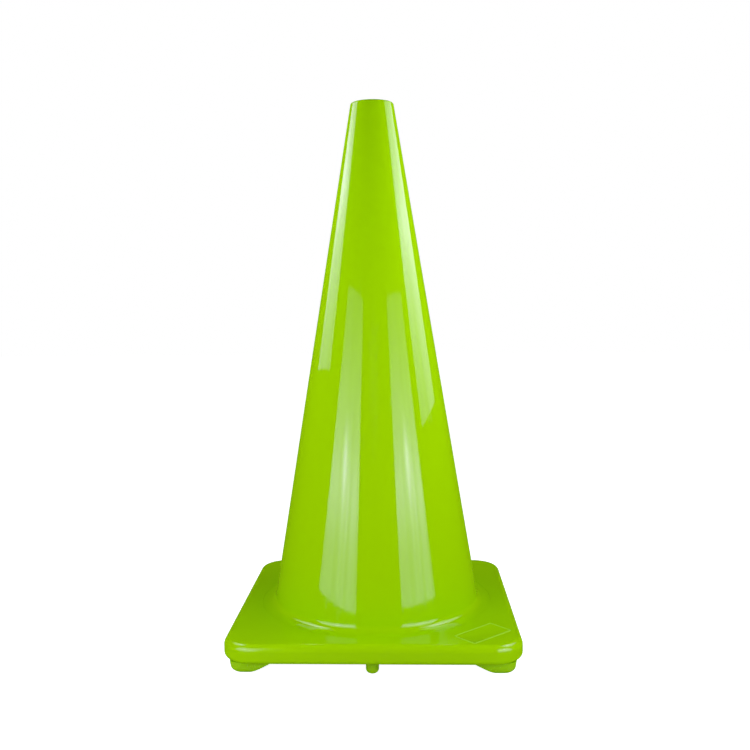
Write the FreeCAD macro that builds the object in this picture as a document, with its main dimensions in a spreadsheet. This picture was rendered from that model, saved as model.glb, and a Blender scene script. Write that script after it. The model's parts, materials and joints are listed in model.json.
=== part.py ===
"""Traffic cone, 28 inch class: a hollow PVC cone on a square ballasted base.

The origin is on the floor under the cone's axis, +Z is up and -Y is the front. Sizes are millimetres.
"""

import FreeCAD
import Part
import math
import os
import Sketcher

DIMENSIONS = {
    "total_height": 711.0,  # floor to rim, 28 inches
    "base_width": 368.0,  # 14.5 inches, square
    "base_top": 39.3,  # height of the base's upper face
    "base_underside": 15.1,  # height of the base's lower face, carried on the feet
    "plan_corner_radius": 38.5,
    "top_edge_radius": 9.0,
    "bottom_edge_radius": 6.5,
    "cover_side": 7.0,  # skin thickness of the base's side walls
    "cover_top": 4.0,  # skin thickness of the base's upper face
    "cone_foot_radius": 140.05,  # outside, where the taper meets the base's upper face
    "cone_top_radius": 28.5,  # outside, at the rim
    "flare_radius": 14.0,  # concave radius between the taper and the base
    "flare_edge_radius": 157.0,  # outer edge of the sleeve's flared foot
    "sleeve_mouth_radius": 137.2,  # inside, at the bottom of the sleeve
    "top_bore_radius": 24.6,
    "top_bore_length": 12.0,
    "rim_outer_rounding": 3.0,
    "rim_inner_rounding": 0.8,
    "slab_hole_radius": 140.0,
    "foot_inset": 9.1,  # from the base's side to the foot's outer wall
    "foot_toe": 119.0,  # from the axis to where the foot's slope starts
    "foot_heel": 147.5,  # from the axis to where the slope reaches the floor
    "foot_corner_radius": 12.0,
    "foot_rounding": 7.5,
    "peg_radius": 8.0,
    "peg_offset": 166.0,  # from the axis to the peg's centre
    "peg_rounding": 5.5,
    "panel_length": 68.0,
    "panel_width": 36.0,
    "panel_corner": 6.0,
    "panel_plate": 0.5,  # height of the panel's plate above the base
    "panel_border": 1.3,  # width of the raised border
    "panel_rise": 1.0,  # height of the raised border above the base
}

PANEL_X = 135.8
PANEL_Y = -139.2
PANEL_TURN = 43.0  # degrees, so that the panel lies across the corner

CORNER_TURNS = {  # degrees about the cone's axis, from the front right corner
    "front_right_foot": 0,
    "rear_right_foot": 90,
    "rear_left_foot": 180,
    "front_left_foot": 270,
}

SIDE_TURNS = {  # degrees about the cone's axis, from the middle of the front edge
    "front_peg": 0,
    "right_peg": 90,
    "rear_peg": 180,
    "left_peg": 270,
}

UP = FreeCAD.Vector(0, 0, 1)
SHEET = "Dimensions"


def size(name):
    """The expression that reads one driving dimension."""
    return f"{SHEET}.{name}"


def make_sheet(doc):
    sheet = doc.addObject("Spreadsheet::Sheet", SHEET)
    for row, (name, value) in enumerate(DIMENSIONS.items(), start=1):
        sheet.set(f"A{row}", name)
        sheet.set(f"B{row}", str(value))
        sheet.setAlias(f"B{row}", name)
    doc.recompute()
    return sheet


def make_body(doc, label):
    body = doc.addObject("PartDesign::Body", label)
    body.Label = label
    return body


def origin_feature(body, role):
    return next(item for item in body.Origin.OriginFeatures if item.Role == role)


def make_sketch(body, name, plane="XY_Plane", height=None):
    """A sketch on one of the body's own planes, lifted to a height given as an expression."""
    sketch = body.newObject("Sketcher::SketchObject", name)
    sketch.AttachmentSupport = [(origin_feature(body, plane), "")]
    sketch.MapMode = "FlatFace"
    if height is not None:
        sketch.setExpression(".AttachmentOffset.Base.z", height)
    return sketch


def add_size(sketch, kind, *where, expression, start):
    """Add one dimensional constraint and bind its value to an expression."""
    index = sketch.addConstraint(Sketcher.Constraint(kind, *where, start))
    sketch.setExpression(f"Constraints[{index}]", expression)


def draw_circle(sketch, radius, start):
    circle = Part.Circle(FreeCAD.Vector(0, 0, 0), UP, start)
    index = sketch.addGeometry(circle, False)
    sketch.addConstraint(Sketcher.Constraint("Coincident", index, 3, -1, 1))
    add_size(sketch, "Radius", index, expression=radius, start=start)


def draw_rounded_rectangle(sketch, length, width, corner, start):
    """A centred rectangle with equal round corners; start gives its rough length, width and radius."""
    half_length, half_width, radius = start[0] / 2, start[1] / 2, start[2]
    corners = [(1, -1), (1, 1), (-1, 1), (-1, -1)]
    arcs = []
    for quarter, (side_x, side_y) in enumerate(corners):
        centre = FreeCAD.Vector(side_x * (half_length - radius), side_y * (half_width - radius), 0)
        first_angle = math.radians(90 * quarter - 90)
        circle = Part.Circle(centre, UP, radius)
        arcs.append(Part.ArcOfCircle(circle, first_angle, first_angle + math.pi / 2))
    lines = [Part.LineSegment(arcs[k - 1].EndPoint, arcs[k].StartPoint) for k in range(4)]
    line_ids = [sketch.addGeometry(line, False) for line in lines]
    arc_ids = [sketch.addGeometry(arc, False) for arc in arcs]
    for k in range(4):
        following = line_ids[(k + 1) % 4]
        sketch.addConstraint(Sketcher.Constraint("Tangent", line_ids[k], 2, arc_ids[k], 1))
        sketch.addConstraint(Sketcher.Constraint("Tangent", arc_ids[k], 2, following, 1))
        direction = "Horizontal" if k % 2 == 0 else "Vertical"
        sketch.addConstraint(Sketcher.Constraint(direction, line_ids[k]))
    for k in range(1, 4):
        sketch.addConstraint(Sketcher.Constraint("Equal", arc_ids[0], arc_ids[k]))
    sketch.addConstraint(Sketcher.Constraint("Symmetric", arc_ids[0], 3, arc_ids[2], 3, -1, 1))
    add_size(sketch, "DistanceX", line_ids[3], 1, line_ids[1], 1, expression=length, start=start[0])
    add_size(sketch, "DistanceY", line_ids[0], 1, line_ids[2], 1, expression=width, start=start[1])
    add_size(sketch, "Radius", arc_ids[0], expression=corner, start=radius)


def draw_polygon(sketch, points):
    """A closed outline; each point is (x, y, x expression, y expression), and None leaves that size free."""
    places = [FreeCAD.Vector(x, y, 0) for x, y, _, _ in points]
    count = len(places)
    lines = [
        sketch.addGeometry(Part.LineSegment(places[k], places[(k + 1) % count]), False)
        for k in range(count)
    ]
    for k in range(count):
        sketch.addConstraint(Sketcher.Constraint("Coincident", lines[k], 2, lines[(k + 1) % count], 1))
    for line, (x, y, x_size, y_size) in zip(lines, points):
        if x_size is not None:
            add_size(sketch, "DistanceX", -1, 1, line, 1, expression=x_size, start=x)
        if y_size is not None:
            add_size(sketch, "DistanceY", -1, 1, line, 1, expression=y_size, start=y)
    return lines


def pad(body, sketch, length):
    feature = body.newObject("PartDesign::Pad", f"{sketch.Name}_pad")
    feature.Profile = sketch
    feature.setExpression("Length", length)
    sketch.Visibility = False
    body.Document.recompute()
    return feature


def cut_upwards(body, sketch, depth):
    """A pocket that starts at the sketch and runs up; it must take material away."""
    before = body.Shape.Volume
    feature = body.newObject("PartDesign::Pocket", f"{sketch.Name}_pocket")
    feature.Profile = sketch
    feature.Reversed = True
    feature.setExpression("Length", depth)
    body.Document.recompute()
    if body.Shape.Volume >= before - 1.0:
        raise RuntimeError(f"{feature.Name} cut nothing")
    return feature


def revolve(body, sketch):
    feature = body.newObject("PartDesign::Revolution", f"{sketch.Name}_revolution")
    feature.Profile = sketch
    feature.ReferenceAxis = (sketch, ["V_Axis"])
    feature.Angle = 360
    body.Document.recompute()
    return feature


def round_edges(body, base, name, radius, wanted):
    """Round every edge of the base feature that the wanted test accepts."""
    names = [f"Edge{k}" for k, edge in enumerate(base.Shape.Edges, start=1) if wanted(edge)]
    if not names:
        raise RuntimeError(f"{name}: no edge found to round")
    feature = body.newObject("PartDesign::Fillet", name)
    feature.Base = (base, names)
    feature.setExpression("Radius", radius)
    body.Document.recompute()
    return feature


def lies_at(height):
    """A test for edges that lie flat at one height."""
    def wanted(edge):
        box = edge.BoundBox
        return abs(box.ZMin - height) < 0.01 and abs(box.ZMax - height) < 0.01
    return wanted


def is_ring(height, radius):
    """A test for the circle of one radius at one height."""
    level = lies_at(height)

    def wanted(edge):
        return level(edge) and abs(edge.BoundBox.XMax - radius) < 0.05
    return wanted


def make_cone_sleeve(doc, value):
    """Hollow taper, turned from one outline: flared foot, wall, rim and the straight bore in the top."""
    body = make_body(doc, "cone_sleeve")
    foot_level = value["base_top"] - value["cover_top"]
    bore_level = value["total_height"] - value["top_bore_length"]
    foot_size = f"{size('base_top')} - {size('cover_top')}"
    bore_size = f"{size('total_height')} - {size('top_bore_length')}"
    outline = make_sketch(body, "sleeve_outline", "XZ_Plane")
    draw_polygon(outline, [
        (value["sleeve_mouth_radius"], foot_level, size("sleeve_mouth_radius"), foot_size),
        (value["flare_edge_radius"], foot_level, size("flare_edge_radius"), foot_size),
        (value["flare_edge_radius"], value["base_top"], size("flare_edge_radius"), size("base_top")),
        (value["cone_foot_radius"], value["base_top"], size("cone_foot_radius"), size("base_top")),
        (value["cone_top_radius"], value["total_height"], size("cone_top_radius"), size("total_height")),
        (value["top_bore_radius"], value["total_height"], size("top_bore_radius"), size("total_height")),
        (value["top_bore_radius"], bore_level, size("top_bore_radius"), bore_size),
    ])
    wall = revolve(body, outline)
    flare = round_edges(body, wall, "flare", size("flare_radius"),
                        is_ring(value["base_top"], value["cone_foot_radius"]))
    rim = round_edges(body, flare, "rim_outside", size("rim_outer_rounding"),
                      is_ring(value["total_height"], value["cone_top_radius"]))
    round_edges(body, rim, "rim_inside", size("rim_inner_rounding"),
                is_ring(value["total_height"], value["top_bore_radius"]))
    return body


def make_base_cover(doc, value):
    """Skin of the base: a rounded square, hollow from below, with a round hole for the sleeve's foot."""
    body = make_body(doc, "base_cover")
    thickness = f"{size('base_top')} - {size('base_underside')}"
    plan = make_sketch(body, "cover_plan", height=size("base_underside"))
    draw_rounded_rectangle(plan, size("base_width"), size("base_width"), size("plan_corner_radius"),
                           (value["base_width"], value["base_width"], value["plan_corner_radius"]))
    block = pad(body, plan, thickness)
    top_edge = round_edges(body, block, "top_edge", size("top_edge_radius"), lies_at(value["base_top"]))
    round_edges(body, top_edge, "bottom_edge", size("bottom_edge_radius"),
                lies_at(value["base_underside"]))
    inner_width = f"{size('base_width')} - 2 * {size('cover_side')}"
    inner_corner = f"{size('plan_corner_radius')} - {size('cover_side')}"
    inner_start = value["base_width"] - 2 * value["cover_side"]
    cavity = make_sketch(body, "cover_cavity", height=size("base_underside"))
    draw_rounded_rectangle(cavity, inner_width, inner_width, inner_corner,
                           (inner_start, inner_start, value["plan_corner_radius"] - value["cover_side"]))
    cut_upwards(body, cavity, f"{thickness} - {size('cover_top')}")
    hole = make_sketch(body, "cover_hole", height=size("base_underside"))
    draw_circle(hole, size("flare_edge_radius"), value["flare_edge_radius"])
    cut_upwards(body, hole, f"{thickness} + {size('cover_top')}")
    return body


def make_ballast_slab(doc, value):
    """Heavy filling of the base, cast inside the skin, with the round hole that the cone opens through."""
    body = make_body(doc, "ballast_slab")
    inner_width = f"{size('base_width')} - 2 * {size('cover_side')}"
    inner_corner = f"{size('plan_corner_radius')} - {size('cover_side')}"
    inner_start = value["base_width"] - 2 * value["cover_side"]
    depth = f"{size('base_top')} - {size('cover_top')} - {size('base_underside')}"
    plan = make_sketch(body, "slab_plan", height=size("base_underside"))
    draw_rounded_rectangle(plan, inner_width, inner_width, inner_corner,
                           (inner_start, inner_start, value["plan_corner_radius"] - value["cover_side"]))
    pad(body, plan, depth)
    hole = make_sketch(body, "slab_hole", height=size("base_underside"))
    draw_circle(hole, size("slab_hole_radius"), value["slab_hole_radius"])
    cut_upwards(body, hole, depth)
    return body


def draw_foot_plan(sketch, value):
    """The foot seen from above at the front right corner: a square with its outer corner rounded."""
    outer = value["base_width"] / 2 - value["foot_inset"]
    toe = value["foot_toe"]
    radius = value["foot_corner_radius"]
    outer_size = f"{size('base_width')} / 2 - {size('foot_inset')}"
    circle = Part.Circle(FreeCAD.Vector(outer - radius, radius - outer, 0), UP, radius)
    arc_shape = Part.ArcOfCircle(circle, -math.pi / 2, 0)
    front = Part.LineSegment(FreeCAD.Vector(toe, -outer, 0), arc_shape.StartPoint)
    side = Part.LineSegment(arc_shape.EndPoint, FreeCAD.Vector(outer, -toe, 0))
    back = Part.LineSegment(FreeCAD.Vector(outer, -toe, 0), FreeCAD.Vector(toe, -toe, 0))
    inner = Part.LineSegment(FreeCAD.Vector(toe, -toe, 0), FreeCAD.Vector(toe, -outer, 0))
    ids = [sketch.addGeometry(shape, False) for shape in (front, arc_shape, side, back, inner)]
    front_id, arc_id, side_id, back_id, inner_id = ids
    for first, second in ((front_id, arc_id), (arc_id, side_id)):
        sketch.addConstraint(Sketcher.Constraint("Tangent", first, 2, second, 1))
    for first, second in ((side_id, back_id), (back_id, inner_id), (inner_id, front_id)):
        sketch.addConstraint(Sketcher.Constraint("Coincident", first, 2, second, 1))
    for line_id, direction in ((front_id, "Horizontal"), (side_id, "Vertical"),
                               (back_id, "Horizontal"), (inner_id, "Vertical")):
        sketch.addConstraint(Sketcher.Constraint(direction, line_id))
    add_size(sketch, "Radius", arc_id, expression=size("foot_corner_radius"), start=radius)
    add_size(sketch, "DistanceX", -1, 1, side_id, 2, expression=outer_size, start=outer)
    add_size(sketch, "DistanceY", front_id, 1, -1, 1, expression=outer_size, start=outer)
    add_size(sketch, "DistanceX", -1, 1, back_id, 2, expression=size("foot_toe"), start=toe)
    add_size(sketch, "DistanceY", back_id, 2, -1, 1, expression=size("foot_toe"), start=toe)


def cut_foot_slope(body, value, plane):
    """Cut away a wedge, so that the foot's inner flank slopes down from the toe to the heel."""
    toe, heel, height = value["foot_toe"], value["foot_heel"], value["base_underside"]
    sign = 1 if plane == "XZ_Plane" else -1
    across = "" if sign > 0 else "-"
    wedge = make_sketch(body, f"slope_{plane[:2].lower()}", plane)
    lines = [
        (sign * toe, height), (sign * toe, 0), (sign * heel, 0),
    ]
    ids = []
    for k, (x, y) in enumerate(lines):
        next_x, next_y = lines[(k + 1) % 3]
        segment = Part.LineSegment(FreeCAD.Vector(x, y, 0), FreeCAD.Vector(next_x, next_y, 0))
        ids.append(wedge.addGeometry(segment, False))
    for k in range(3):
        wedge.addConstraint(Sketcher.Constraint("Coincident", ids[k], 2, ids[(k + 1) % 3], 1))
    wedge.addConstraint(Sketcher.Constraint("Vertical", ids[0]))
    wedge.addConstraint(Sketcher.Constraint("PointOnObject", ids[0], 2, -1))
    wedge.addConstraint(Sketcher.Constraint("PointOnObject", ids[1], 2, -1))
    add_size(wedge, "DistanceY", -1, 1, ids[0], 1, expression=size("base_underside"), start=height)
    add_size(wedge, "DistanceX", -1, 1, ids[0], 1, expression=across + size("foot_toe"), start=sign * toe)
    add_size(wedge, "DistanceX", -1, 1, ids[1], 2, expression=across + size("foot_heel"), start=sign * heel)
    before = body.Shape.Volume
    pocket = body.newObject("PartDesign::Pocket", f"{wedge.Name}_pocket")
    pocket.Profile = wedge
    pocket.Type = 1
    pocket.Midplane = True
    body.Document.recompute()
    if body.Shape.Volume >= before - 1.0:
        raise RuntimeError(f"{pocket.Name} cut nothing")
    return pocket


def make_foot(doc, value, label, turn):
    """Corner foot, built at the front right corner and turned about the cone's axis to its own."""
    body = make_body(doc, label)
    plan = make_sketch(body, "foot_plan")
    draw_foot_plan(plan, value)
    pad(body, plan, size("base_underside"))
    cut_foot_slope(body, value, "XZ_Plane")
    slope = cut_foot_slope(body, value, "YZ_Plane")
    round_edges(body, slope, "sole_edge", size("foot_rounding"), lies_at(0.0))
    body.Placement = FreeCAD.Placement(FreeCAD.Vector(0, 0, 0), FreeCAD.Rotation(UP, turn))
    return body


def make_peg(doc, value, label, turn):
    """Round-ended peg under the middle of one edge."""
    body = make_body(doc, label)
    plan = make_sketch(body, "peg_plan")
    draw_circle(plan, size("peg_radius"), value["peg_radius"])
    shank = pad(body, plan, size("base_underside"))
    round_edges(body, shank, "peg_end", size("peg_rounding"), lies_at(0.0))
    rotation = FreeCAD.Rotation(UP, turn)
    centre = rotation.multVec(FreeCAD.Vector(0, -value["peg_offset"], 0))
    body.Placement = FreeCAD.Placement(centre, rotation)
    return body


def make_name_panel(doc, value):
    """Blank panel on the front right corner: a thin plate with a fine raised border."""
    body = make_body(doc, "name_panel")
    start = (value["panel_length"], value["panel_width"], value["panel_corner"])
    outer = make_sketch(body, "border_plan")
    draw_rounded_rectangle(outer, size("panel_length"), size("panel_width"), size("panel_corner"), start)
    pad(body, outer, size("panel_rise"))
    border = value["panel_border"]
    field_start = (start[0] - 2 * border, start[1] - 2 * border, start[2] - border)
    field = make_sketch(body, "field_plan", height=size("panel_plate"))
    draw_rounded_rectangle(field,
                           f"{size('panel_length')} - 2 * {size('panel_border')}",
                           f"{size('panel_width')} - 2 * {size('panel_border')}",
                           f"{size('panel_corner')} - {size('panel_border')}",
                           field_start)
    cut_upwards(body, field, size("panel_rise"))
    place = FreeCAD.Vector(PANEL_X, PANEL_Y, value["base_top"])
    body.Placement = FreeCAD.Placement(place, FreeCAD.Rotation(UP, PANEL_TURN))
    return body


def check(doc, bodies):
    for item in doc.Objects:
        if "Invalid" in item.State or "Error" in item.State:
            raise RuntimeError(f"{item.Label} failed: {item.State}")
    for body in bodies:
        if body.Shape.isNull() or not body.Shape.isValid() or len(body.Shape.Solids) != 1:
            raise RuntimeError(f"{body.Label} is not one valid solid")


def main():
    os.makedirs("parts", exist_ok=True)
    doc = FreeCAD.newDocument("traffic_cone")
    sheet = make_sheet(doc)
    value = {name: float(sheet.get(name)) for name in DIMENSIONS}
    bodies = [
        make_cone_sleeve(doc, value),
        make_base_cover(doc, value),
        make_ballast_slab(doc, value),
        make_name_panel(doc, value),
    ]
    for label, turn in CORNER_TURNS.items():
        bodies.append(make_foot(doc, value, label, turn))
    for label, turn in SIDE_TURNS.items():
        bodies.append(make_peg(doc, value, label, turn))
    doc.recompute()
    check(doc, bodies)
    for body in bodies:
        body.Shape.exportStep(f"parts/{body.Label}.step")
        box = body.Shape.BoundBox
        print(f"{body.Label}: {body.Shape.Volume / 1000:.1f} cm3, "
              f"{box.XLength:.1f} x {box.YLength:.1f} x {box.ZLength:.1f} mm, z from {box.ZMin:.1f}")


main()
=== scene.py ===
# %% [markdown]
# # A lime traffic cone
#
# This lesson dresses the CAD model of a 28 inch traffic cone. The real cone is cast in soft, glossy PVC: a
# hollow taper flares into a square base, and the base stands on four corner feet and four small pegs. A CAD
# mesh has facets, and gloss shows every one of them, so each visible piece is built again here as a fine
# mesh of its own. All of them take their places and sizes from the CAD frame, in metres, with +Z up.

import bmesh
import bpy
import json
import math
from mathutils import Matrix, Vector, noise


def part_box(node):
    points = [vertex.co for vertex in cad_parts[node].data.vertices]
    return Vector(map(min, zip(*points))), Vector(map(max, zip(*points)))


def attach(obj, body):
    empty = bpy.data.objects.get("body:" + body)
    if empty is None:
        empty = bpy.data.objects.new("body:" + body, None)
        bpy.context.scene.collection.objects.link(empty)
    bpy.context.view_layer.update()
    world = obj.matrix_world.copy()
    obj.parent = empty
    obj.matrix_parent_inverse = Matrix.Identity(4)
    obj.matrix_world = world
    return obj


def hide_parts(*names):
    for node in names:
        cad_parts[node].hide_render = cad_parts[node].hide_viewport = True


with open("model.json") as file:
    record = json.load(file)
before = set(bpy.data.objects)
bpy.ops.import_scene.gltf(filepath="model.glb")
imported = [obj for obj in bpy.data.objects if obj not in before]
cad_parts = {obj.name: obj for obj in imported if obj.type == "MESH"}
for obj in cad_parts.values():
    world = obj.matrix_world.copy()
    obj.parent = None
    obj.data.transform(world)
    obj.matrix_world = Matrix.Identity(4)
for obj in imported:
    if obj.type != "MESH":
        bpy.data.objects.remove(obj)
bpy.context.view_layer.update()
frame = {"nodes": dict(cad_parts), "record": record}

# %% [markdown]
# ## Sizes
#
# The sizes could be copied out of the CAD model by hand, but they would go stale when the model changes. So
# they are read from the boxes of the CAD nodes and from the record's mounts. Only what a box can't tell,
# such as an edge radius, is written here, in millimetres.

# %% Read the sizes
MM = 0.001
nodes = frame["nodes"]
mounts = {mount["name"]: mount for mount in frame["record"]["mounts"]}

base_low, base_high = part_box("base_cover")
slab_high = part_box("ballast_slab")[1]
sleeve_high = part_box("cone_sleeve")[1]
BASE_HALF = base_high.x
BASE_TOP = base_high.z
BASE_UNDERSIDE = base_low.z
SKIN_UNDERSIDE = slab_high.z
SKIN_SIDE = BASE_HALF - slab_high.x
RIM_TOP = sleeve_high.z
BORE_RADIUS = mounts["top_bore"]["dims"]["r_mm"] * MM


def widest(node):
    """The largest distance of a node's points from the cone's axis."""
    return max(math.hypot(v.co.x, v.co.y) for v in nodes[node].data.vertices)


FLARE_EDGE = widest("cone_sleeve")
print(f"base {2 * BASE_HALF:.4f} m wide, top at {BASE_TOP:.4f} m, rim at {RIM_TOP:.4f} m, "
      f"flare edge at {FLARE_EDGE:.4f} m")

# %% [markdown]
# ## Building from rings
#
# Every piece of this cone is a stack of closed outlines: circles for the sleeve and the pegs, rounded
# squares for the base. Subdivision surfaces would also give smooth forms, but they shrink away from exact
# sizes. Skinning rings keeps each size exact, leaves clean rows of quads, and puts points only where the
# form turns. A turned piece starts as a profile, a list of points that each have a distance from the axis
# and a height.

# %% Profiles and circles
def arc(centre, radius, start, end, steps):
    """Profile points (distance from the axis, height) along an arc, from one angle to another in degrees."""
    points = []
    for step in range(steps + 1):
        angle = math.radians(start + (end - start) * step / steps)
        points.append((centre[0] + radius * math.cos(angle), centre[1] + radius * math.sin(angle)))
    return points


def straight(start, end, steps):
    """Profile points along a straight line, without the two ends."""
    return [
        (start[0] + (end[0] - start[0]) * k / steps, start[1] + (end[1] - start[1]) * k / steps)
        for k in range(1, steps)
    ]


def circle_ring(radius, height, count):
    """A horizontal circle of points about the axis."""
    turns = [2 * math.pi * k / count for k in range(count)]
    return [Vector((radius * math.cos(turn), radius * math.sin(turn), height)) for turn in turns]


print("a quarter arc in four steps has", len(arc((0, 0), 1, 0, 90, 4)), "points")

# %% [markdown]
# Rings of equal length are joined row by row into one closed mesh. A sleeve or a tray is joined back to its
# first ring, and a foot or a peg gets a cap at each end. Shading is smooth except where two faces meet at
# more than the sharp angle, so that only true corners look like corners.

# %% Skin the rings and settle a piece
SHARP_ANGLE = 40


def skin_rings(name, rings, ends):
    """Join equal rings into one closed mesh: ends is "joined" for a ring-shaped solid, or "capped"."""
    count = len(rings[0])
    points = [point for ring in rings for point in ring]
    faces = []
    for row in range(len(rings) if ends == "joined" else len(rings) - 1):
        low, high = row * count, (row + 1) % len(rings) * count
        for k in range(count):
            after = (k + 1) % count
            faces.append((low + k, low + after, high + after, high + k))
    if ends == "capped":
        faces.append(range(count))
        faces.append(range(len(points) - count, len(points)))
    mesh = bpy.data.meshes.new(name)
    mesh.from_pydata(points, [], faces)
    shell = bmesh.new()
    shell.from_mesh(mesh)
    bmesh.ops.recalc_face_normals(shell, faces=shell.faces)
    shell.to_mesh(mesh)
    shell.free()
    mesh.shade_smooth()
    mesh.set_sharp_from_angle(angle=math.radians(SHARP_ANGLE))
    piece = bpy.data.objects.new(name, mesh)
    bpy.context.scene.collection.objects.link(piece)
    print(f"{name}: {len(mesh.vertices)} points, {len(mesh.polygons)} faces")
    return piece


def flatten_normals(piece):
    """Let the large flat faces set the shading, so that they stay flat right up to their rounded edges."""
    modifier = piece.modifiers.new("flat faces stay flat", "WEIGHTED_NORMAL")
    modifier.keep_sharp = True


def settle(piece, node):
    """The piece stands in for one CAD node, which it hides, and rides with the root body."""
    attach(piece, "root")
    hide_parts(node)


print("two faces look like a corner when they meet at more than", SHARP_ANGLE, "degrees")

# %% [markdown]
# ## The sleeve
#
# On the real cone the sleeve is one hollow taper. Its outline could be drawn as a curve and given a Screw
# modifier. Here the outline is worked out from tangent arcs, because the form at the foot decides what the
# gloss shows: a tight arc leaves the wall, and a wide one then runs out flat into the base. The softboxes
# are mirrored as thin bright arcs in these two curves. A fine seam marks the edge of the flange.

# %% The outline of the sleeve
CONE_FOOT_RADIUS = 140.05 * MM
CONE_TOP_RADIUS = 28.5 * MM
FLARE_RADIUS = 10 * MM
RUNOUT_RADIUS = 40 * MM
FLARE_TURN = 76
RIM_ROUNDING = 2.8 * MM
BORE_ROUNDING = 0.8 * MM
BORE_DEPTH = 12 * MM
MOUTH_RADIUS = 137.2 * MM
SEAM = 0.25 * MM
RUNOUT_STEPS = 8
FLARE_STEPS = 16
RIM_STEPS = 8
BORE_EDGE_STEPS = 4
WALL_ROWS = 110
INSIDE_ROWS = 40

rise = RIM_TOP - BASE_TOP
narrowing = (CONE_FOOT_RADIUS - CONE_TOP_RADIUS) / rise
wall_lean = math.degrees(math.atan(narrowing))


def wall_radius(height):
    """Outside radius of the plain taper at a height."""
    return CONE_FOOT_RADIUS - narrowing * (height - BASE_TOP)


def flare_outline():
    """From the flat top of the base, along the wide run-out and the tight flare, to the foot of the wall."""
    off_wall = math.hypot(1, narrowing)
    turn = math.radians(FLARE_TURN)
    join_height = BASE_TOP + RUNOUT_RADIUS * (1 - math.sin(turn))
    flare_height = join_height + FLARE_RADIUS * math.sin(turn)
    flare_centre = (wall_radius(flare_height) + FLARE_RADIUS * off_wall, flare_height)
    runout_end = flare_centre[0] + (RUNOUT_RADIUS - FLARE_RADIUS) * math.cos(turn)
    runout_centre = (runout_end, BASE_TOP + RUNOUT_RADIUS)
    runout = arc(runout_centre, RUNOUT_RADIUS, 270, 180 + FLARE_TURN, RUNOUT_STEPS)
    flare = arc(flare_centre, FLARE_RADIUS, 180 + FLARE_TURN, 180 + wall_lean, FLARE_STEPS)
    print(f"flare runs out at {runout_end / MM:.1f} mm from the axis, wall leans {wall_lean:.2f} degrees")
    return runout + flare[1:]


def sleeve_outline():
    """The sleeve's closed outline, from the mouth, over the flare, wall and rim, and down inside."""
    off_wall = math.hypot(1, narrowing)
    rim_height = RIM_TOP - RIM_ROUNDING
    rim_centre = (wall_radius(rim_height) - RIM_ROUNDING * off_wall, rim_height)
    bore_centre = (BORE_RADIUS + BORE_ROUNDING, RIM_TOP - BORE_ROUNDING)
    rim = arc(rim_centre, RIM_ROUNDING, wall_lean, 90, RIM_STEPS)
    bore_edge = arc(bore_centre, BORE_ROUNDING, 90, 180, BORE_EDGE_STEPS)
    bore_end = (BORE_RADIUS, RIM_TOP - BORE_DEPTH)
    mouth = (MOUTH_RADIUS, SKIN_UNDERSIDE)
    flare = flare_outline()
    outline = [mouth, (FLARE_EDGE, SKIN_UNDERSIDE)]
    outline += [(FLARE_EDGE, BASE_TOP - SEAM), (FLARE_EDGE - SEAM, BASE_TOP)]
    outline += flare + straight(flare[-1], rim[0], WALL_ROWS) + rim
    outline += bore_edge + [bore_end] + straight(bore_end, mouth, INSIDE_ROWS)
    return outline


sleeve_profile = sleeve_outline()
print("the sleeve's outline has", len(sleeve_profile), "points")

# %% [markdown]
# A cast cone is never a perfect turning. It shrinks a little unevenly as it cools, so the edges of a
# mirrored softbox wander. A bump map could fake that, but the silhouette would stay ruler straight. So the
# points themselves are pushed in and out by a slow noise, less than a fifth of a millimetre, that dies away
# at the foot and the rim, where the sleeve has to meet its neighbours.

# %% Cast unevenness, and the sleeve itself
SLEEVE_POINTS_ROUND = 288
CAST_UNEVENNESS = 0.16 * MM
CAST_WAVE = 62 * MM
CAST_STRETCH = 2.2
CAST_FADE = 12


def as_cast(point):
    """Push a point of the wall in or out, by a slow noise that is zero at the foot and at the rim."""
    share = (point.z - BASE_TOP) / rise
    fade = max(0.0, min(1.0, share * CAST_FADE, (1 - share) * CAST_FADE))
    where = Vector((point.x, point.y, point.z / CAST_STRETCH)) / CAST_WAVE
    push = CAST_UNEVENNESS * fade * noise.noise(where)
    outwards = Vector((point.x, point.y, 0)).normalized()
    return point + outwards * push


rings = [circle_ring(radius, height, SLEEVE_POINTS_ROUND) for radius, height in sleeve_profile]
rings = [[as_cast(point) for point in ring] for ring in rings]
sleeve = skin_rings("sleeve", rings, "joined")
settle(sleeve, "cone_sleeve")

# %% [markdown]
# ## The base
#
# The base's skin is a rounded square tray, open below, with a large round hole for the sleeve. A cube with
# a Bevel modifier and a Boolean hole would do, but a Boolean leaves long thin faces that gloss shows. Rings
# with equal numbers of points can change from circle to rounded square, so one stack gives hole, top,
# rounded edges and walls. First come the two kinds of ring.

# %% The rounded square ring
PLAN_CORNER = 38.5 * MM
CORNER_STEPS = 22
SIDE_STEPS = 34


def rounded_square(half, corner, height):
    """A horizontal rounded square about the axis, starting at the front right corner."""
    ring = []
    for quarter in range(4):
        turn = Matrix.Rotation(math.radians(90 * quarter), 3, "Z")
        middle = Vector((half - corner, corner - half, height))
        for step in range(CORNER_STEPS + 1):
            angle = math.radians(-90 + 90 * step / CORNER_STEPS)
            ring.append(turn @ (middle + corner * Vector((math.cos(angle), math.sin(angle), 0))))
        for step in range(1, SIDE_STEPS):
            along = (corner - half) * (1 - 2 * step / SIDE_STEPS)
            ring.append(turn @ Vector((half, along, height)))
    return ring


def base_ring(inset, height):
    """The base's outline, set in by some amount, with its corners set in alike."""
    return rounded_square(BASE_HALF - inset, PLAN_CORNER - inset, height)


def hole_ring(radius, height):
    """A circle whose points stand in line with those of the base's rings."""
    ring = []
    for point in base_ring(0, height):
        flat = Vector((point.x, point.y, 0)).normalized()
        ring.append(flat * radius + Vector((0, 0, height)))
    return ring


print("each ring of the base has", len(base_ring(0, BASE_TOP)), "points")

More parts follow.
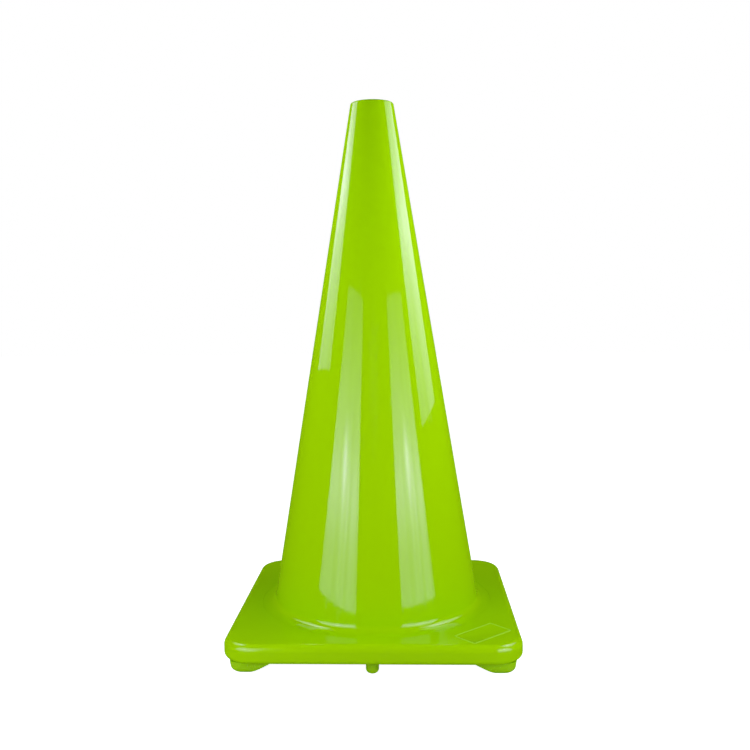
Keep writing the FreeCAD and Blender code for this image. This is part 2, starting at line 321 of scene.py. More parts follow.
# %% [markdown]
# The casting leaves its mould with generous rounded edges, more at the top than below. A Bevel modifier
# would give both edges one radius. Rings along two quarter arcs give each its own, and the flat faces
# between them are told to set the shading, so that the gloss stays calm on the flats and bends only in the
# edges.

# %% The base's skin
TOP_EDGE = 9.0 * MM
TOP_EDGE_STEPS = 12
BOTTOM_EDGE = 6.5 * MM
BOTTOM_EDGE_STEPS = 10


def edge_rings(radius, height, start, end, steps):
    """Rings of a rounded edge; height is the level of the arc's centre."""
    rings = []
    for step in range(steps + 1):
        angle = math.radians(start + (end - start) * step / steps)
        rings.append(base_ring(radius * (1 - math.cos(angle)), height + radius * math.sin(angle)))
    return rings


rings = [hole_ring(FLARE_EDGE, SKIN_UNDERSIDE), hole_ring(FLARE_EDGE, BASE_TOP)]
rings += edge_rings(TOP_EDGE, BASE_TOP - TOP_EDGE, 90, 0, TOP_EDGE_STEPS)
rings += edge_rings(BOTTOM_EDGE, BASE_UNDERSIDE + BOTTOM_EDGE, 0, -90, BOTTOM_EDGE_STEPS)
rings += [base_ring(SKIN_SIDE, BASE_UNDERSIDE), base_ring(SKIN_SIDE, SKIN_UNDERSIDE)]
base_skin = skin_rings("base_skin", rings, "joined")
flatten_normals(base_skin)
settle(base_skin, "base_cover")

# %% [markdown]
# ## The ballast
#
# The weight of a cone is a slab of ground, recycled PVC, poured into the skin from below. It only shows
# when the cone is tipped over, as a dark matt square with a round hole. It could be left as the CAD slab,
# but its sharp edges would look cut, not cast. A small bevel along its outer edge draws the line where the
# two castings meet, and the hole widens a little so that the next cone slides in.

# %% The ballast slab
BALLAST_BEVEL = 1.2 * MM
HOLE_RADIUS = 140 * MM
HOLE_BEVEL = 2.0 * MM
HOLE_BEVEL_CROWN = 0.3

rings = [
    hole_ring(MOUTH_RADIUS, SKIN_UNDERSIDE),
    hole_ring(HOLE_RADIUS, BASE_UNDERSIDE + HOLE_BEVEL),
    hole_ring(HOLE_RADIUS + HOLE_BEVEL_CROWN * HOLE_BEVEL, BASE_UNDERSIDE + HOLE_BEVEL_CROWN * HOLE_BEVEL),
    hole_ring(HOLE_RADIUS + HOLE_BEVEL, BASE_UNDERSIDE),
    base_ring(SKIN_SIDE + BALLAST_BEVEL, BASE_UNDERSIDE),
    base_ring(SKIN_SIDE, BASE_UNDERSIDE + BALLAST_BEVEL),
    base_ring(SKIN_SIDE, SKIN_UNDERSIDE),
]
ballast = skin_rings("ballast", rings, "joined")
flatten_normals(ballast)
settle(ballast, "ballast_slab")

# %% [markdown]
# ## Feet and pegs
#
# A foot is a block under each corner: nearly upright outside, following the base's rounded corner, and
# sloping inside so that it leaves its mould easily. It could be carved from a cube with bevels, but a stack
# of rings that grow from the sole to the base needs no Boolean. Each ring is a square whose outer, inner
# and side corners have radii of their own, and the rings crowd together near the sole, where the form turns
# most.

# %% The corner feet
foot_low, foot_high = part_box("front_right_foot")
FOOT_OUTER = foot_high.x
FOOT_TOE = foot_low.x
FOOT_HEEL = 147 * MM
FOOT_DRAFT = 0.13
FOOT_CORNER = 13 * MM
FOOT_INNER_CORNER = 14 * MM
FOOT_SIDE_CORNER = 4 * MM
CORNER_TIGHTENING = 0.5
SOLE_ROUNDING = 8 * MM
SOLE_BLEND = 3.5 * MM
HEEL_LIFT = 0.5
FOOT_ROWS = 16
ROW_CROWDING = 1.7
FOOT_CORNER_STEPS = 10


def four_corner_ring(low, high, radii, height):
    """A square ring at the front right, from low to high both ways; radii start at its outer corner."""
    corners = [(high, -high, -90), (high, -low, 0), (low, -low, 90), (low, -high, 180)]
    ring = []
    for (x, y, start), radius in zip(corners, radii):
        inwards_x = radius if x == low else -radius
        inwards_y = radius if y == -high else -radius
        for step in range(FOOT_CORNER_STEPS + 1):
            angle = math.radians(start + 90 * step / FOOT_CORNER_STEPS)
            ring.append(Vector((x + inwards_x + radius * math.cos(angle),
                                y + inwards_y + radius * math.sin(angle), height)))
    return ring


def rolled(height, radius):
    """How far a rounded lower edge stands in at a height above its lowest point."""
    if height >= radius:
        return 0.0
    return radius - math.sqrt(radius**2 - (radius - height) ** 2)


def foot_rings():
    """Rings from the sole up to the base."""
    rings = []
    for row in range(FOOT_ROWS + 1):
        share = (row / FOOT_ROWS) ** ROW_CROWDING
        height = BASE_UNDERSIDE * share
        roll = rolled(height, SOLE_ROUNDING) + FOOT_DRAFT * (BASE_UNDERSIDE - height)
        low = FOOT_HEEL + (FOOT_TOE - FOOT_HEEL) * share + HEEL_LIFT * rolled(height, SOLE_BLEND)
        outer_corner = FOOT_CORNER - CORNER_TIGHTENING * roll
        radii = (outer_corner, FOOT_SIDE_CORNER, FOOT_INNER_CORNER, FOOT_SIDE_CORNER)
        rings.append(four_corner_ring(low, FOOT_OUTER - roll, radii, height))
    return rings


QUARTER_TURNS = {"front_right": 0, "rear_right": 90, "rear_left": 180, "front_left": 270}
feet = {}
for place, degrees in QUARTER_TURNS.items():
    turn = Matrix.Rotation(math.radians(degrees), 3, "Z")
    rings = [[turn @ point for point in ring] for ring in foot_rings()]
    feet[place] = skin_rings(f"foot_{place}", rings, "capped")
    settle(feet[place], f"{place}_foot")

# %% [markdown]
# The pegs under the middle of each edge keep the base from sagging between its feet. Each is a short round
# pin with a domed end. A cylinder with a bevel would come close, but the little flare where a cast peg
# leaves the base would be missing. So its outline is two arcs and the line between them, turned about its
# own axis.

# %% The edge pegs
PEG_ROUNDING = 5.5 * MM
PEG_ROOT = 0.8 * MM
PEG_DOME_STEPS = 8
PEG_ROOT_STEPS = 4
PEG_POINTS_ROUND = 48


def peg_outline(radius):
    """From the flat of the domed end up to the small flare at the root."""
    dome = arc((radius - PEG_ROUNDING, PEG_ROUNDING), PEG_ROUNDING, -90, 0, PEG_DOME_STEPS)
    root = arc((radius + PEG_ROOT, BASE_UNDERSIDE - PEG_ROOT), PEG_ROOT, 180, 90, PEG_ROOT_STEPS)
    return dome + root


pegs = {}
for side in ("front", "right", "rear", "left"):
    low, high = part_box(f"{side}_peg")
    middle = Vector(((low.x + high.x) / 2, (low.y + high.y) / 2, 0))
    radius = (high.x - low.x) / 2
    rings = [circle_ring(*place, PEG_POINTS_ROUND) for place in peg_outline(radius)]
    rings = [[point + middle for point in ring] for ring in rings]
    pegs[side] = skin_rings(f"peg_{side}", rings, "capped")
    settle(pegs[side], f"{side}_peg")

# %% [markdown]
# ## The name panel
#
# One corner of the base carries a blank rectangle with a fine raised border, where an owner's name would
# go. It is small, but the light that its border catches is what the eye finds on the plain base. A bump
# could draw the border, but it would vanish at a low angle. So the border is a real half-round bead, made
# of rings that climb over it and come down on the plate.

# %% The name panel
PANEL_LENGTH = 68 * MM
PANEL_WIDTH = 36 * MM
PANEL_CORNER = 3.5 * MM
PANEL_TURN = 43
PANEL_CORNER_STEPS = 8
BEAD_WIDTH = 2.5 * MM
BEAD_HEIGHT = 0.6 * MM
BEAD_FLATNESS = 0.8
BEAD_STEPS = 8
PLATE_HEIGHT = 0.12 * MM


def panel_ring(inset, height):
    """A rounded rectangle about the origin, set in by some amount."""
    half_length = PANEL_LENGTH / 2 - inset
    half_width = PANEL_WIDTH / 2 - inset
    radius = PANEL_CORNER - inset
    ring = []
    for quarter, (side_x, side_y) in enumerate(((1, -1), (1, 1), (-1, 1), (-1, -1))):
        middle = Vector((side_x * (half_length - radius), side_y * (half_width - radius), height))
        for step in range(PANEL_CORNER_STEPS + 1):
            angle = math.radians(90 * quarter - 90 + 90 * step / PANEL_CORNER_STEPS)
            ring.append(middle + radius * Vector((math.cos(angle), math.sin(angle), 0)))
    return ring


def bead_rings():
    """Rings over the half-round bead, from its outer foot to the plate."""
    rings = []
    for step in range(BEAD_STEPS + 1):
        share = step / BEAD_STEPS
        height = BEAD_HEIGHT * math.sin(math.pi * share) ** BEAD_FLATNESS
        if share > 0.5:
            height = max(height, PLATE_HEIGHT)
        rings.append(panel_ring(BEAD_WIDTH * share, height))
    return rings


panel_low, panel_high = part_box("name_panel")
panel_middle = Vector(((panel_low.x + panel_high.x) / 2, (panel_low.y + panel_high.y) / 2, BASE_TOP))
turn = Matrix.Rotation(math.radians(PANEL_TURN), 3, "Z")
rings = [[turn @ point + panel_middle for point in ring] for ring in bead_rings()]
panel = skin_rings("name_panel_blank", rings, "capped")
settle(panel, "name_panel")

# %% [markdown]
# ## Effects that several materials share
#
# Flow marks and scuffs turn up in several materials here, and specks twice in one. So each of these effects
# is a node group, built once and placed with its own values. A group gives out only a mask or a height, and
# the shader stays in the material. All three read object coordinates, so they need no UV map and don't
# slide when the camera moves. Building node trees by hand repeats a lot, so a few short helpers come first.

# %% Helpers for node trees
def new_group(name, inputs, output):
    """A node group with number inputs (name, default) and one number output; returns it with its ends."""
    group = bpy.data.node_groups.new(name, "ShaderNodeTree")
    for socket, value in inputs:
        made = group.interface.new_socket(name=socket, in_out="INPUT", socket_type="NodeSocketFloat")
        made.default_value = value
    group.interface.new_socket(name=output, in_out="OUTPUT", socket_type="NodeSocketFloat")
    start = group.nodes.new("NodeGroupInput")
    end = group.nodes.new("NodeGroupOutput")
    return group, start, end


def math_node(tree, operation, *values, clamp=False):
    """A Math node; a value is a number or a socket to link from."""
    node = tree.nodes.new("ShaderNodeMath")
    node.operation = operation
    node.use_clamp = clamp
    for index, value in enumerate(values):
        if isinstance(value, bpy.types.NodeSocket):
            tree.links.new(value, node.inputs[index])
        else:
            node.inputs[index].default_value = value
    return node.outputs[0]


def stretched_noise(tree, size, stretch, detail):
    """Noise in object coordinates whose grains are size wide and stretch times as tall."""
    place = tree.nodes.new("ShaderNodeTexCoord")
    scale = tree.nodes.new("ShaderNodeCombineXYZ")
    per_metre = math_node(tree, "DIVIDE", 1.0, size)
    tall = math_node(tree, "DIVIDE", per_metre, stretch)
    for axis, value in (("X", per_metre), ("Y", per_metre), ("Z", tall)):
        tree.links.new(value, scale.inputs[axis])
    scaled = tree.nodes.new("ShaderNodeVectorMath")
    scaled.operation = "MULTIPLY"
    tree.links.new(place.outputs["Object"], scaled.inputs[0])
    tree.links.new(scale.outputs[0], scaled.inputs[1])
    grains = tree.nodes.new("ShaderNodeTexNoise")
    grains.inputs["Scale"].default_value = 1.0
    grains.inputs["Detail"].default_value = detail
    tree.links.new(scaled.outputs[0], grains.inputs["Vector"])
    return grains.outputs[0]


def between(tree, value, low, high):
    """Turn the part of a value from low to high into 0 to 1, with a smooth step."""
    node = tree.nodes.new("ShaderNodeMapRange")
    node.interpolation_type = "SMOOTHSTEP"
    node.inputs["From Min"].default_value = low
    node.inputs["From Max"].default_value = high
    tree.links.new(value, node.inputs["Value"])
    return node.outputs["Result"]


print("node groups so far:", len(bpy.data.node_groups))

# %% [markdown]
# Three things mark a cast PVC skin. PVC that gels against a hot mould leaves soft streaks along the wall.
# Hands and the next cone in the stack leave faint rubbed patches with hairlines in them. Ground scrap shows
# as specks. Painted masks would need a UV map for each piece, so all three are noise. The flow marks keep
# their whole height, and the other two are cut to a mask at a chosen level. The output of a noise node
# keeps close to 0.5, which is why those levels lie a little above it.

# %% Flow marks, scuffs and specks
FLOW_DETAIL = 2.0
PATCH_LEVELS = (0.52, 0.72)
PATCH_DETAIL = 3.0
HAIRLINE_SIZE = 0.02
HAIRLINE_STRETCH = 14.0
HAIRLINE_DETAIL = 2.0
HAIRLINE_LEVELS = (0.62, 0.70)
SPECK_DETAIL = 1.0
SPECK_LEVEL = 0.75
SPECK_LEVEL_DROP = 0.3
SPECK_CRISPNESS = 12.0


def build_flow_marks():
    """Soft streaks left by PVC as it gels against the mould's wall: grain height, stretched upwards."""
    group, start, end = new_group("flow_marks", [("Size", 0.006), ("Stretch", 20.0)], "Height")
    broad = stretched_noise(group, start.outputs["Size"], start.outputs["Stretch"], FLOW_DETAIL)
    group.links.new(broad, end.inputs["Height"])
    return group


def build_scuffs():
    """Faint rubbed patches and hairlines from handling and stacking, as a mask."""
    group, start, end = new_group("handling_scuffs", [("Patch Size", 0.05), ("Amount", 0.3)], "Mask")
    patch_noise = stretched_noise(group, start.outputs["Patch Size"], 1.0, PATCH_DETAIL)
    patch = between(group, patch_noise, *PATCH_LEVELS)
    hairline_size = math_node(group, "MULTIPLY", start.outputs["Patch Size"], HAIRLINE_SIZE)
    hairline_noise = stretched_noise(group, hairline_size, HAIRLINE_STRETCH, HAIRLINE_DETAIL)
    hairline = between(group, hairline_noise, *HAIRLINE_LEVELS)
    marks = math_node(group, "MULTIPLY", patch, hairline)
    group.links.new(math_node(group, "MULTIPLY", marks, start.outputs["Amount"]), end.inputs["Mask"])
    return group


def build_specks():
    """Small grains, such as ground scrap or dust, as a mask."""
    group, start, end = new_group("specks", [("Size", 0.001), ("Share", 0.3)], "Mask")
    grains = stretched_noise(group, start.outputs["Size"], 1.0, SPECK_DETAIL)
    drop = math_node(group, "MULTIPLY", start.outputs["Share"], SPECK_LEVEL_DROP)
    level = math_node(group, "SUBTRACT", SPECK_LEVEL, drop)
    above = math_node(group, "SUBTRACT", grains, level)
    group.links.new(math_node(group, "MULTIPLY", above, SPECK_CRISPNESS, clamp=True), end.inputs["Mask"])
    return group


FLOW_MARKS = build_flow_marks()
SCUFFS = build_scuffs()
SPECKS = build_specks()
print("node groups:", [group.name for group in bpy.data.node_groups])

# %% [markdown]
# ## The materials
#
# A material here is one Principled shader with a few masks that steer its colour, roughness and normal. The
# same four moves come back in each: start an empty material, place a group, mix two colours by a mask, and
# turn a height into a bump. A node tree could be drawn by hand in the editor, but as helpers the moves read
# like a recipe.

# %% Helpers for materials
def new_material(name):
    """A material with an empty Principled shader; returns it with its tree and shader."""
    material = bpy.data.materials.new(name)
    material.use_nodes = True
    tree = material.node_tree
    shader = next(node for node in tree.nodes if node.type == "BSDF_PRINCIPLED")
    return material, tree, shader


def use_group(tree, group, **values):
    """Place a node group and set its inputs; underscores in the names stand for spaces."""
    node = tree.nodes.new("ShaderNodeGroup")
    node.node_tree = group
    for name, value in values.items():
        node.inputs[name.replace("_", " ")].default_value = value
    return node.outputs[0]


def mix_colours(tree, factor, first, second):
    """Mix two colours; each is a colour value or a socket."""
    node = tree.nodes.new("ShaderNodeMix")
    node.data_type = "RGBA"
    tree.links.new(factor, node.inputs["Factor"])
    colour_inputs = [socket for socket in node.inputs if socket.type == "RGBA"]
    for socket, colour in zip(colour_inputs, (first, second)):
        if isinstance(colour, bpy.types.NodeSocket):
            tree.links.new(colour, socket)
        else:
            socket.default_value = colour
    return next(socket for socket in node.outputs if socket.type == "RGBA")


def add_bump(tree, shader, height, distance):
    """Feed a height into the shader's normal; distance is how far its full range stands up."""
    bump = tree.nodes.new("ShaderNodeBump")
    bump.inputs["Strength"].default_value = 1.0
    bump.inputs["Distance"].default_value = distance
    tree.links.new(height, bump.inputs["Height"])
    tree.links.new(bump.outputs["Normal"], shader.inputs["Normal"])


print("materials so far:", len(bpy.data.materials))

# %% [markdown]
# Soft PVC has a strong, even pigment and a thin, very smooth skin, so each lime material is one saturated
# colour under a sharp reflection. A car paint look with a clear coat would be too deep. What makes it look
# cast and not painted is small: streaks in the gloss that follow the mould's wall, a slow waviness, and a
# few rubbed spots. The bead of the panel is dull, like anything cast in a groove that was cut and not
# polished, and the feet are rubbed by the ground.

# %% The lime PVC
LIME = (0.345, 0.778, 0.0, 1)
LIME_RUBBED = (0.380, 0.770, 0.008, 1)
PVC_IOR = 1.50
STREAK_LEVELS = (0.56, 0.74)
SCUFF_PATCH = 0.06
SCUFF_DULLNESS = 0.3


def lime_pvc(name, gloss, streaks, flow_size, flow_stretch, flow_depth, scuff_amount):
    """Lime PVC: gloss is its lowest roughness, streaks the roughness its flow marks add, and the flow values
    shape those marks."""
    material, tree, shader = new_material(name)
    shader.inputs["IOR"].default_value = PVC_IOR
    scuffs = use_group(tree, SCUFFS, Patch_Size=SCUFF_PATCH, Amount=scuff_amount)
    flow = use_group(tree, FLOW_MARKS, Size=flow_size, Stretch=flow_stretch)
    tree.links.new(mix_colours(tree, scuffs, LIME, LIME_RUBBED), shader.inputs["Base Color"])
    streaked = math_node(tree, "MULTIPLY_ADD", between(tree, flow, *STREAK_LEVELS), streaks, gloss)
    dulled = math_node(tree, "MULTIPLY_ADD", scuffs, SCUFF_DULLNESS, streaked)
    tree.links.new(dulled, shader.inputs["Roughness"])
    add_bump(tree, shader, flow, flow_depth)
    return material


SLEEVE_LIME = lime_pvc(
    "lime_pvc_sleeve", gloss=0.05, streaks=0.08,
    flow_size=0.004, flow_stretch=45.0, flow_depth=0.014 * MM, scuff_amount=0.25,
)
BASE_LIME = lime_pvc(
    "lime_pvc_base", gloss=0.09, streaks=0.05,
    flow_size=0.012, flow_stretch=1.0, flow_depth=0.02 * MM, scuff_amount=0.12,
)
BEAD_LIME = lime_pvc(
    "lime_pvc_bead", gloss=0.75, streaks=0.10,
    flow_size=0.006, flow_stretch=1.0, flow_depth=0.01 * MM, scuff_amount=0.2,
)
FOOT_LIME = lime_pvc(
    "lime_pvc_foot", gloss=0.22, streaks=0.12,
    flow_size=0.003, flow_stretch=1.0, flow_depth=0.03 * MM, scuff_amount=0.6,
)
print("lime materials:", [material.name for material in bpy.data.materials if "lime" in material.name])

# %% [markdown]
# Each lime piece takes one of these. The panel takes two, because its plate is as glossy as the base round
# it and only the bead is dull. The plate is the cap of the last ring, which makes it the last face of the
# mesh. Two objects would do the same, but one piece for each CAD node is easier to keep track of.

# %% Dress the lime pieces
sleeve.data.materials.append(SLEEVE_LIME)
base_skin.data.materials.append(BASE_LIME)
panel.data.materials.append(BEAD_LIME)
panel.data.materials.append(BASE_LIME)
plate_face = panel.data.polygons[-1]
plate_face.material_index = 1
for piece in list(feet.values()) + list(pegs.values()):
    piece.data.materials.append(FOOT_LIME)
print(f"the panel's plate is {plate_face.area / MM**2:.0f} square millimetres of glossy lime")

# %% [markdown]
# The ballast is ground from old cones and cable, so it is nearly black, matt, and flecked with grains of
# every colour that went into the grinder. A Voronoi pattern would give hard cells of one size. Grey and
# lime specks of two sizes over a dark ground look ground and not tiled, and the same specks stand up a
# little as grain.

# %% The recycled PVC
DARK_GROUND = (0.018, 0.019, 0.018, 1)
GREY_GRAIN = (0.060, 0.062, 0.058, 1)
LIME_GRAIN = (0.16, 0.28, 0.02, 1)
BALLAST_ROUGHNESS = 0.5
BALLAST_ROUGHNESS_SWING = 0.25
GRAIN_STANDS_UP = 0.3
BALLAST_RELIEF = 0.25 * MM


def recycled_pvc():
    """Dark, matt, speckled PVC with a slow unevenness."""
    material, tree, shader = new_material("recycled_pvc")
    grey_specks = use_group(tree, SPECKS, Size=0.0016, Share=0.35)
    lime_specks = use_group(tree, SPECKS, Size=0.0031, Share=0.05)
    ground = mix_colours(tree, grey_specks, DARK_GROUND, GREY_GRAIN)
    ground = mix_colours(tree, lime_specks, ground, LIME_GRAIN)
    tree.links.new(ground, shader.inputs["Base Color"])
    waves = use_group(tree, FLOW_MARKS, Size=0.018, Stretch=1.0)
    roughness = math_node(tree, "MULTIPLY_ADD", waves, BALLAST_ROUGHNESS_SWING, BALLAST_ROUGHNESS)
    tree.links.new(roughness, shader.inputs["Roughness"])
    height = math_node(tree, "MULTIPLY_ADD", grey_specks, GRAIN_STANDS_UP, waves)
    add_bump(tree, shader, height, BALLAST_RELIEF)
    return material


ballast.data.materials.append(recycled_pvc())
print("materials:", [material.name for material in bpy.data.materials])

# %% [markdown]
# ## The studio
#
# Gloss shows its surroundings, so the lights are part of the look. Four softboxes stand round the cone: two
# large ones in front, left and right, and two raised ones at its sides. A plain area light would be
# mirrored as one flat patch. A real softbox is a cloth in front of a bulb, so the glow of each one here is
# worked out by nodes over the light's own surface: bright round the bulb, fading from there, and creased
# where the cloth is stretched. Bell curves make soft humps of light, and a stretched noise makes the
# creases.

# %% How a softbox glows
FOLD_WIDTH = 0.045
FOLD_LENGTH = 0.6
FOLD_CONTRAST = 1.5
FOLD_DETAIL = 3.0
FRONT_FADE = -2.0
FRONT_EVEN_GLOW = 1.2
SIDE_EVEN_GLOW = 1.15


def bell(tree, value, middle, spread):
    """A smooth hump that is 1 where a value is at its middle and near 0 two spreads away."""
    off = math_node(tree, "DIVIDE", math_node(tree, "SUBTRACT", value, middle), spread)
    minus_square = math_node(tree, "MULTIPLY", math_node(tree, "MULTIPLY", off, off), -1.0)
    return math_node(tree, "EXPONENT", minus_square)


def add_glow(tree, glow, strength, hump):
    """Add a hump, at some strength, to the glow so far."""
    return math_node(tree, "MULTIPLY_ADD", hump, strength, glow)


def cloth_folds(tree, across, up):
    """The fine upright creases of a stretched cloth, as a factor near 1."""
    place = tree.nodes.new("ShaderNodeCombineXYZ")
    tree.links.new(math_node(tree, "DIVIDE", across, FOLD_WIDTH), place.inputs["X"])
    tree.links.new(math_node(tree, "DIVIDE", up, FOLD_LENGTH), place.inputs["Y"])
    creases = tree.nodes.new("ShaderNodeTexNoise")
    creases.inputs["Scale"].default_value = 1.0
    creases.inputs["Detail"].default_value = FOLD_DETAIL
    tree.links.new(place.outputs[0], creases.inputs["Vector"])
    return math_node(tree, "MULTIPLY_ADD", creases.outputs[0], FOLD_CONTRAST, 1 - FOLD_CONTRAST / 2)


def front_glow(tree, across, up):
    """Brightest low down, round the bulb, and fading towards the top."""
    glow = math_node(tree, "MULTIPLY_ADD", up, FRONT_FADE, FRONT_EVEN_GLOW)
    glow = add_glow(tree, glow, strength=0.9, hump=bell(tree, up, middle=0.02, spread=0.14))
    glow = add_glow(tree, glow, strength=1.9, hump=bell(tree, up, middle=-0.11, spread=0.085))
    bulb_up = bell(tree, up, middle=-0.055, spread=0.06)
    bulb_across = bell(tree, across, middle=0.0, spread=0.036)
    return add_glow(tree, glow, strength=4.8, hump=math_node(tree, "MULTIPLY", bulb_up, bulb_across))


def side_glow(tree, across, up):
    """Brightest a little above the middle, round the bulb, and never dark."""
    glow = add_glow(tree, SIDE_EVEN_GLOW, strength=2.6, hump=bell(tree, up, middle=0.10, spread=0.24))
    glow = add_glow(tree, glow, strength=0.7, hump=bell(tree, up, middle=0.07, spread=0.08))
    bulb_up = bell(tree, up, middle=0.08, spread=0.05)
    bulb_across = bell(tree, across, middle=0.0, spread=0.05)
    return add_glow(tree, glow, strength=2.0, hump=math_node(tree, "MULTIPLY", bulb_up, bulb_across))


print(f"the cloth's creases are {FOLD_WIDTH} m apart and {FOLD_LENGTH} m long")

# %% [markdown]
# The cloths aren't quite rectangles, because each is seen at a slant and hangs from a stand. Their sides
# lean, and the whole cloth may be turned and tilted a little. Bending the light itself isn't possible, so
# the area light is made large enough for the whole cloth, and a mask lets only the four-sided cloth glow,
# with a soft hem. The light is slightly violet, which is how the gloss turns out neutral over a strong
# yellow green.

# %% A softbox
LIGHT_TINT = (1.0, 0.80, 1.36, 1)
CLOTH_HEM = 0.006


def cloth_mask(tree, across, up, width, left, right):
    """1 inside the four-sided cloth and 0 outside it."""
    left_room = math_node(tree, "ADD", across, math_node(tree, "MULTIPLY_ADD", up, left, width / 2))
    right_room = math_node(tree, "SUBTRACT", math_node(tree, "MULTIPLY_ADD", up, right, width / 2), across)
    room = math_node(tree, "MINIMUM", left_room, right_room)
    return between(tree, room, 0.0, CLOTH_HEM)


def softbox(name, azimuth, distance, low, high, middle, width, left, right, yaw, roll, glow):
    """A four-sided softbox that faces the axis; azimuth 0 is in front, and positive to the right.

    It hangs between the heights low and high. Its width is taken at the height called middle, and left
    and right say how fast each side spreads upwards. Angles are in degrees.
    """
    reach = max(middle - low, high - middle)
    half = width / 2 + max(abs(left), abs(right)) * reach
    light = bpy.data.lights.new(name, "AREA")
    light.shape = "RECTANGLE"
    light.size = 2 * half
    light.size_y = high - low
    light.energy = math.pi * light.size * light.size_y
    light.use_nodes = True
    tree = light.node_tree
    emission = next(node for node in tree.nodes if node.type == "EMISSION")
    emission.inputs["Color"].default_value = LIGHT_TINT
    where = tree.nodes.new("ShaderNodeNewGeometry")
    parts = tree.nodes.new("ShaderNodeSeparateXYZ")
    tree.links.new(where.outputs["Parametric"], parts.inputs[0])
    across = math_node(tree, "MULTIPLY_ADD", parts.outputs[0], 2 * half, -half)
    up = math_node(tree, "MULTIPLY_ADD", parts.outputs[1], high - low, low - middle)
    inside = cloth_mask(tree, across, up, width, left, right)
    folds = cloth_folds(tree, across, up)
    brightness = math_node(tree, "MULTIPLY", glow(tree, across, up), folds)
    tree.links.new(math_node(tree, "MULTIPLY", brightness, inside), emission.inputs["Strength"])
    turn = math.radians(azimuth)
    stand = Vector((distance * math.sin(turn), -distance * math.cos(turn), middle))
    facing = Matrix.Rotation(math.radians(azimuth + yaw), 4, "Z") @ Matrix.Rotation(math.radians(90), 4, "X")
    tilted = facing @ Matrix.Rotation(math.radians(roll), 4, "Z")
    lamp = bpy.data.objects.new(name, light)
    lamp.rotation_mode = "QUATERNION"
    lamp.rotation_quaternion = tilted.to_quaternion()
    lamp.location = stand + tilted.to_3x3() @ Vector((0, (low + high) / 2 - middle, 0))
    lamp.visible_camera = False
    bpy.context.scene.collection.objects.link(lamp)
    print(f"{name}: {light.size:.3f} by {light.size_y:.3f} m, {distance} m from the axis")


print("light tint:", LIGHT_TINT[:3])

# %% [markdown]
# The front pair reaches down almost to the floor, and is mirrored as two tall bands in the lower part of
# the cone. The side pair hangs high and gives the narrow bands near the cone's outline. One large light
# would be simpler, but it is these separate bands that show how round and how straight the cone is.

# %% Place the four softboxes
FRONT_PAIR = {"distance": 0.65, "glow": front_glow}
SIDE_PAIR = {"distance": 0.50, "high": 1.05, "glow": side_glow}

softbox(
    "front_left_softbox", azimuth=-38.2, low=0.054, high=0.652, middle=0.370, width=0.454,
    left=-0.137, right=-0.047, yaw=1.0, roll=-0.7, **FRONT_PAIR,
)
softbox(
    "front_right_softbox", azimuth=45.4, low=0.052, high=0.646, middle=0.371, width=0.420,
    left=-0.008, right=-0.099, yaw=0.2, roll=-2.3, **FRONT_PAIR,
)
softbox(
    "side_left_softbox", azimuth=-99.1, low=0.412, middle=0.687, width=0.338,
    left=0.120, right=0.049, yaw=1.3, roll=7.8, **SIDE_PAIR,
)
softbox(
    "side_right_softbox", azimuth=95.4, low=0.339, middle=0.614, width=0.393,
    left=-0.039, right=0.253, yaw=-0.9, roll=0.5, **SIDE_PAIR,
)

# %% [markdown]
# The room should be white behind the cone and still not wash out its gloss. So the world's light is split
# by what looks at it: white for the camera, a soft grey for diffuse light, and a dim lime for reflections.
# With black in the gloss the cone's outline would turn dark, because a glancing surface mirrors almost
# everything. The dim lime stands for the light that the base and the cone throw back at each other. Light
# Path is the node that tells the kinds of ray apart.

# %% The room's light
AMBIENT = 0.16
ROOM_FOR_CAMERA = (1, 1, 1, 1)
ROOM_IN_GLOSS = (0.22, 0.42, 0.004, 1)

world = bpy.data.worlds.new("studio")
bpy.context.scene.world = world
world.use_nodes = True
tree = world.node_tree
background = next(node for node in tree.nodes if node.type == "BACKGROUND")
path = tree.nodes.new("ShaderNodeLightPath")
tint = mix_colours(tree, path.outputs["Is Glossy Ray"], ROOM_FOR_CAMERA, ROOM_IN_GLOSS)
tree.links.new(tint, background.inputs["Color"])
to_camera = path.outputs["Is Camera Ray"]
to_gloss = path.outputs["Is Glossy Ray"]
to_pieces = math_node(tree, "MULTIPLY_ADD", path.outputs["Is Diffuse Ray"], AMBIENT, to_gloss)
tree.links.new(math_node(tree, "ADD", to_camera, to_pieces), background.inputs["Strength"])
print("diffuse light from the room:", AMBIENT, "and its colour in gloss:", ROOM_IN_GLOSS[:3])

# %% [markdown]
# Two weak lamps fill in what the softboxes leave dark: a wide one overhead for the base's upper face, and a
# small snooted one in front for the cone's upper half. More ambient light could do it, but that would
# flatten the whole cone. Neither of them is mirrored, so they add no bands of their own.

# %% The fill lights
TOP_LIGHT_RADIANCE = 0.10
TOP_LIGHT_SIZE = 1.6
TOP_LIGHT_PLACE = (0, -0.1, 2.2)
UPPER_FILL_POWER = 0.23
UPPER_FILL_SIZE = 0.3
UPPER_FILL_SPREAD = 45
UPPER_FILL_PLACE = (0, -1.25, 0.66)


def fill_light(name, size, power, place):
    """A square area light that isn't mirrored; it points down until it is turned."""
    light = bpy.data.lights.new(name, "AREA")
    light.shape = "SQUARE"
    light.size = size
    light.energy = power
    lamp = bpy.data.objects.new(name, light)
    lamp.location = place
    lamp.visible_glossy = False
    bpy.context.scene.collection.objects.link(lamp)
    print(f"{name}: {power:.3f} W")
    return lamp


fill_light("top_light", TOP_LIGHT_SIZE, TOP_LIGHT_RADIANCE * math.pi * TOP_LIGHT_SIZE**2, TOP_LIGHT_PLACE)
upper_fill = fill_light("upper_fill", UPPER_FILL_SIZE, UPPER_FILL_POWER, UPPER_FILL_PLACE)
upper_fill.data.spread = math.radians(UPPER_FILL_SPREAD)
upper_fill.rotation_euler = (math.radians(90), 0, 0)
upper_fill.visible_camera = False

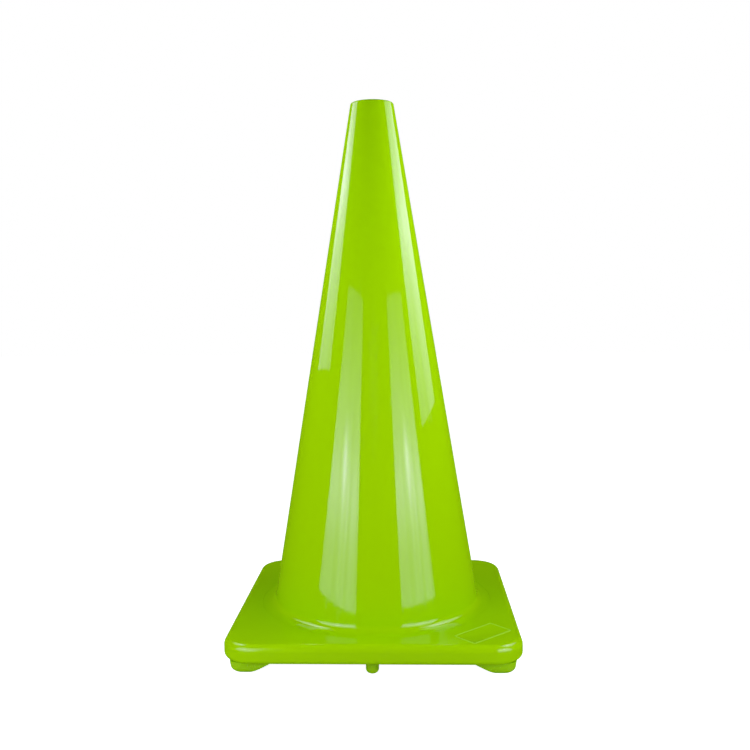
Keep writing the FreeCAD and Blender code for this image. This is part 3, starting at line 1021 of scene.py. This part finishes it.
# %% [markdown]
# The floor is plain pale paper. It has to be as white as the room behind it, so that no horizon shows, and
# a brighter lamp would burn out the cone first. So the paper glows for the camera only. To all other rays
# it is ordinary paper that bounces some light up under the base, and it stays out of reflections.

# %% The floor
FLOOR_HALF = 6.0
FLOOR_GLOW = 1.0
PAPER = (0.62, 0.62, 0.62, 1)
PAPER_ROUGHNESS = 0.9

mesh = bpy.data.meshes.new("floor")
mesh.from_pydata([(-FLOOR_HALF, -FLOOR_HALF, 0), (FLOOR_HALF, -FLOOR_HALF, 0),
                  (FLOOR_HALF, FLOOR_HALF, 0), (-FLOOR_HALF, FLOOR_HALF, 0)], [], [(0, 1, 2, 3)])
floor = bpy.data.objects.new("floor", mesh)
bpy.context.scene.collection.objects.link(floor)
material, tree, shader = new_material("pale_paper")
shader.inputs["Base Color"].default_value = PAPER
shader.inputs["Roughness"].default_value = PAPER_ROUGHNESS
shader.inputs["Emission Color"].default_value = (1, 1, 1, 1)
path = tree.nodes.new("ShaderNodeLightPath")
tree.links.new(math_node(tree, "MULTIPLY", path.outputs["Is Camera Ray"], FLOOR_GLOW),
               shader.inputs["Emission Strength"])
mesh.materials.append(material)
floor.visible_glossy = False
print(f"floor: {2 * FLOOR_HALF:.0f} m square")

# %% [markdown]
# ## The camera
#
# The camera stands a little over a metre in front, about two thirds of the way up the cone, and looks
# slightly down. Three small turns aim it, and a Track To constraint would do the same, but written as a
# matrix they stay exact. The picture keeps true pigment colours, so the view transform is Standard and not
# a film look.

# %% The camera and the colours of the picture
CAMERA_PLACE = Vector((0.0438, -1.2393, 0.4539))
CAMERA_TILT = -4.863
CAMERA_PAN = -1.992
CAMERA_ROLL = -0.544
LENS = 43.81
FILM_WIDTH = 36

tilt, pan, roll = (math.radians(angle) for angle in (CAMERA_TILT, CAMERA_PAN, CAMERA_ROLL))
ahead = Vector((math.sin(pan) * math.cos(tilt), math.cos(pan) * math.cos(tilt), math.sin(tilt)))
level = Vector((math.cos(pan), -math.sin(pan), 0))
upright = level.cross(ahead)
right = level * math.cos(roll) + upright * math.sin(roll)
up = upright * math.cos(roll) - level * math.sin(roll)
camera_data = bpy.data.cameras.new("camera")
camera_data.lens = LENS
camera_data.sensor_width = FILM_WIDTH
camera = bpy.data.objects.new("camera", camera_data)
camera.matrix_world = Matrix((right, up, -ahead)).transposed().to_4x4()
camera.location = CAMERA_PLACE
bpy.context.scene.collection.objects.link(camera)
bpy.context.scene.camera = camera
bpy.context.scene.view_settings.view_transform = "Standard"
print(f"camera: {CAMERA_PLACE.length:.2f} m from the middle of the base, {LENS} mm lens")
